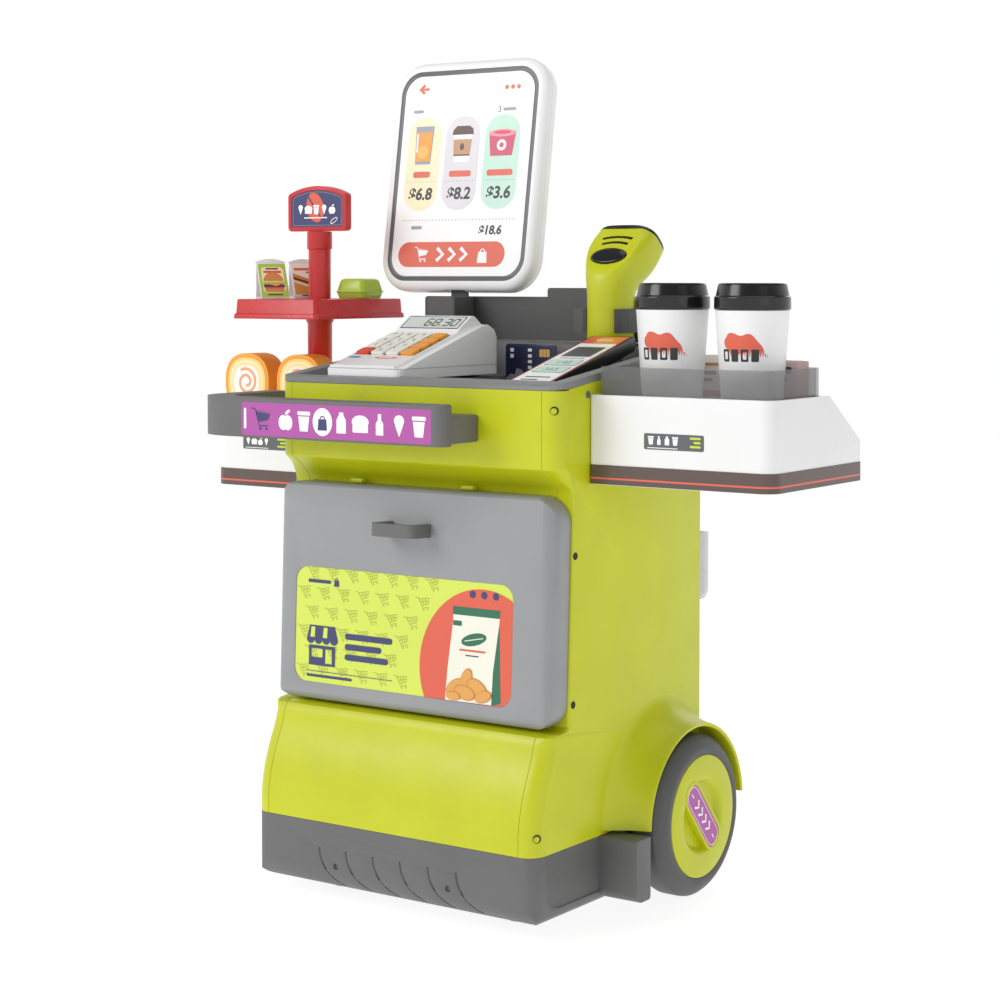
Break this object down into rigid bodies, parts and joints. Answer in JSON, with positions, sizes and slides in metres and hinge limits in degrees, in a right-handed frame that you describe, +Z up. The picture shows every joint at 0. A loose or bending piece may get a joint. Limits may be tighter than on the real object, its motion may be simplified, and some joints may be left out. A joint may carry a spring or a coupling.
{
  "type": "toy cash register",
  "caption": "Toy supermarket checkout trolley with side shelves, tilting screen, card terminal with press keys, hand scanner, drop-down storage door, wheels and play food",
  "frame": {"origin": "centre of the bounding box in plan, on the floor", "axes": "+Z up, -Y is the customer's side with the door and the rail, +X is the side of the drinks shelf"},
  "size_m": [0.606, 0.2996, 0.7055],
  "materials": {
    "lime": "satin injection moulded lime-yellow",
    "dark_grey": "fine-grained dark grey",
    "door_grey": "satin mid grey",
    "rim_grey": "satin grey",
    "white": "satin white",
    "red": "glossy red",
    "black": "glossy black",
    "tyre": "fine-grained dark grey",
    "steel": "plain turned",
    "orange": "satin orange",
    "cake": "soft orange-yellow",
    "cream": "plain card",
    "navy": "printed dark blue",
    "pink": "clear pinkish wrap",
    "smoke": "smoky translucent",
    "frost": "light translucent grey",
    "lime_clear": "translucent lime"
  },
  "bodies": {
    "cabinet": {"base_bumper": "dark_grey", "front_shell": "lime", "side_panel_right": "lime", "side_panel_left": "lime", "back_panel": "lime", "console_tray": "rim_grey", "rear_upstand": "dark_grey", "rear_pocket": "frost", "front_rail": "dark_grey", "foot_left": "black", "foot_right": "black", "rear_axle": "steel", "wing_right": "white", "wing_left": "white", "guard_right": "smoke", "stand_post": "red", "stand_tray": "red", "stand_sign": "red", "burger_card": "cream", "sandwich_card": "cream"},
    "storage_door": {"door_shell": "door_grey", "door_handle": "dark_grey"},
    "wheel_right": {"tyre_right": "tyre", "hub_right": "lime"},
    "wheel_left": {"tyre_left": "tyre", "hub_left": "lime"},
    "monitor": {"monitor_front": "white", "monitor_back": "white"},
    "card_terminal": {"pos_lower_case": "white", "pos_upper_case": "white"},
    "scanner": {"scanner_front": "lime", "scanner_rear": "black"},
    "scanner_trigger": {"scanner_button": "black"},
    "bank_card": {"bank_card": "navy"},
    "payment_pad": {"payment_pad": "black"},
    "cup_1": {"cup_1": "white"},
    "cup_2": {"cup_2": "white"},
    "lid_1": {"cup_lid_1": "black"},
    "lid_2": {"cup_lid_2": "black"},
    "roll_1": {"roll_cake_1": "cake"},
    "roll_2": {"roll_cake_2": "cake"},
    "burger_box": {"burger_box": "lime_clear"},
    "milk_carton": {"milk_carton": "cream"},
    "snack_pack": {"snack_pack": "pink"},
    "key_1_1": {"key_1_1": "red"},
    "key_1_2": {"key_1_2": "white"},
    "key_1_3": {"key_1_3": "white"},
    "key_1_4": {"key_1_4": "orange"},
    "key_2_1": {"key_2_1": "white"},
    "key_2_2": {"key_2_2": "white"},
    "key_2_3": {"key_2_3": "white"},
    "key_2_4": {"key_2_4": "orange"},
    "key_3_1": {"key_3_1": "white"},
    "key_3_2": {"key_3_2": "white"},
    "key_3_3": {"key_3_3": "white"},
    "key_3_4": {"key_3_4": "orange"},
    "key_4_1": {"key_4_1": "white"},
    "key_4_2": {"key_4_2": "white"},
    "key_4_3": {"key_4_3": "white"},
    "key_4_4": {"key_4_4": "orange"}
  },
  "joints": [
    {"name": "door_swing", "type": "hinge", "parent": "cabinet", "child": "storage_door", "pos_m": [0, -0.097, 0.1705], "axis": [1, 0, 0], "range_deg": [0, 88]},
    {"name": "wheel_right_spin", "type": "hinge", "parent": "cabinet", "child": "wheel_right", "pos_m": [0.146, 0.062, 0.0665], "axis": [1, 0, 0], "continuous": true},
    {"name": "wheel_left_spin", "type": "hinge", "parent": "cabinet", "child": "wheel_left", "pos_m": [-0.146, 0.062, 0.0665], "axis": [1, 0, 0], "continuous": true},
    {"name": "monitor_tilt", "type": "hinge", "parent": "cabinet", "child": "monitor", "pos_m": [-0.0957, 0.097, 0.5085], "axis": [1, 0, 0], "range_deg": [-6, 8]},
    {"name": "terminal_lift", "type": "slide", "parent": "cabinet", "child": "card_terminal", "axis": [0, 0, 1], "range_m": [0, 0.03]},
    {"name": "key_1_1_press", "type": "slide", "parent": "card_terminal", "child": "key_1_1", "axis": [0, 0.29, -0.957], "range_m": [0, 0.0012], "stiffness_N_per_m": 300},
    {"name": "key_1_2_press", "type": "slide", "parent": "card_terminal", "child": "key_1_2", "axis": [0, 0.29, -0.957], "range_m": [0, 0.0012], "stiffness_N_per_m": 300},
    {"name": "key_1_3_press", "type": "slide", "parent": "card_terminal", "child": "key_1_3", "axis": [0, 0.29, -0.957], "range_m": [0, 0.0012], "stiffness_N_per_m": 300},
    {"name": "key_1_4_press", "type": "slide", "parent": "card_terminal", "child": "key_1_4", "axis": [0, 0.29, -0.957], "range_m": [0, 0.0012], "stiffness_N_per_m": 300},
    {"name": "key_2_1_press", "type": "slide", "parent": "card_terminal", "child": "key_2_1", "axis": [0, 0.29, -0.957], "range_m": [0, 0.0012], "stiffness_N_per_m": 300},
    {"name": "key_2_2_press", "type": "slide", "parent": "card_terminal", "child": "key_2_2", "axis": [0, 0.29, -0.957], "range_m": [0, 0.0012], "stiffness_N_per_m": 300},
    {"name": "key_2_3_press", "type": "slide", "parent": "card_terminal", "child": "key_2_3", "axis": [0, 0.29, -0.957], "range_m": [0, 0.0012], "stiffness_N_per_m": 300},
    {"name": "key_2_4_press", "type": "slide", "parent": "card_terminal", "child": "key_2_4", "axis": [0, 0.29, -0.957], "range_m": [0, 0.0012], "stiffness_N_per_m": 300},
    {"name": "key_3_1_press", "type": "slide", "parent": "card_terminal", "child": "key_3_1", "axis": [0, 0.29, -0.957], "range_m": [0, 0.0012], "stiffness_N_per_m": 300},
    {"name": "key_3_2_press", "type": "slide", "parent": "card_terminal", "child": "key_3_2", "axis": [0, 0.29, -0.957], "range_m": [0, 0.0012], "stiffness_N_per_m": 300},
    {"name": "key_3_3_press", "type": "slide", "parent": "card_terminal", "child": "key_3_3", "axis": [0, 0.29, -0.957], "range_m": [0, 0.0012], "stiffness_N_per_m": 300},
    {"name": "key_3_4_press", "type": "slide", "parent": "card_terminal", "child": "key_3_4", "axis": [0, 0.29, -0.957], "range_m": [0, 0.0012], "stiffness_N_per_m": 300},
    {"name": "key_4_1_press", "type": "slide", "parent": "card_terminal", "child": "key_4_1", "axis": [0, 0.29, -0.957], "range_m": [0, 0.0012], "stiffness_N_per_m": 300},
    {"name": "key_4_2_press", "type": "slide", "parent": "card_terminal", "child": "key_4_2", "axis": [0, 0.29, -0.957], "range_m": [0, 0.0012], "stiffness_N_per_m": 300},
    {"name": "key_4_3_press", "type": "slide", "parent": "card_terminal", "child": "key_4_3", "axis": [0, 0.29, -0.957], "range_m": [0, 0.0012], "stiffness_N_per_m": 300},
    {"name": "key_4_4_press", "type": "slide", "parent": "card_terminal", "child": "key_4_4", "axis": [0, 0.29, -0.957], "range_m": [0, 0.0012], "stiffness_N_per_m": 300},
    {"name": "scanner_lift", "type": "slide", "parent": "cabinet", "child": "scanner", "axis": [0, 0, 1], "range_m": [0, 0.034]},
    {"name": "trigger_press", "type": "slide", "parent": "scanner", "child": "scanner_trigger", "axis": [0, 0.7254, -0.6884], "range_m": [0, 0.0012], "stiffness_N_per_m": 400},
    {"name": "bank_card_lift", "type": "slide", "parent": "cabinet", "child": "bank_card", "axis": [0, 0, 1], "range_m": [0, 0.04]},
    {"name": "payment_pad_lift", "type": "slide", "parent": "cabinet", "child": "payment_pad", "axis": [0, 0, 1], "range_m": [0, 0.03]},
    {"name": "cup_1_lift", "type": "slide", "parent": "cabinet", "child": "cup_1", "axis": [0, 0, 1], "range_m": [0, 0.03]},
    {"name": "cup_2_lift", "type": "slide", "parent": "cabinet", "child": "cup_2", "axis": [0, 0, 1], "range_m": [0, 0.03]},
    {"name": "lid_1_lift", "type": "slide", "parent": "cup_1", "child": "lid_1", "axis": [0, 0, 1], "range_m": [0, 0.02]},
    {"name": "lid_2_lift", "type": "slide", "parent": "cup_2", "child": "lid_2", "axis": [0, 0, 1], "range_m": [0, 0.02]},
    {"name": "roll_1_lift", "type": "slide", "parent": "cabinet", "child": "roll_1", "axis": [0, 0, 1], "range_m": [0, 0.025]},
    {"name": "roll_2_lift", "type": "slide", "parent": "cabinet", "child": "roll_2", "axis": [0, 0, 1], "range_m": [0, 0.025]},
    {"name": "burger_box_lift", "type": "slide", "parent": "cabinet", "child": "burger_box", "axis": [0, 0, 1], "range_m": [0, 0.02]},
    {"name": "milk_carton_lift", "type": "slide", "parent": "cabinet", "child": "milk_carton", "axis": [0, 0, 1], "range_m": [0, 0.03]},
    {"name": "snack_pack_lift", "type": "slide", "parent": "cabinet", "child": "snack_pack", "axis": [0, 0, 1], "range_m": [0, 0.03]}
  ]
}
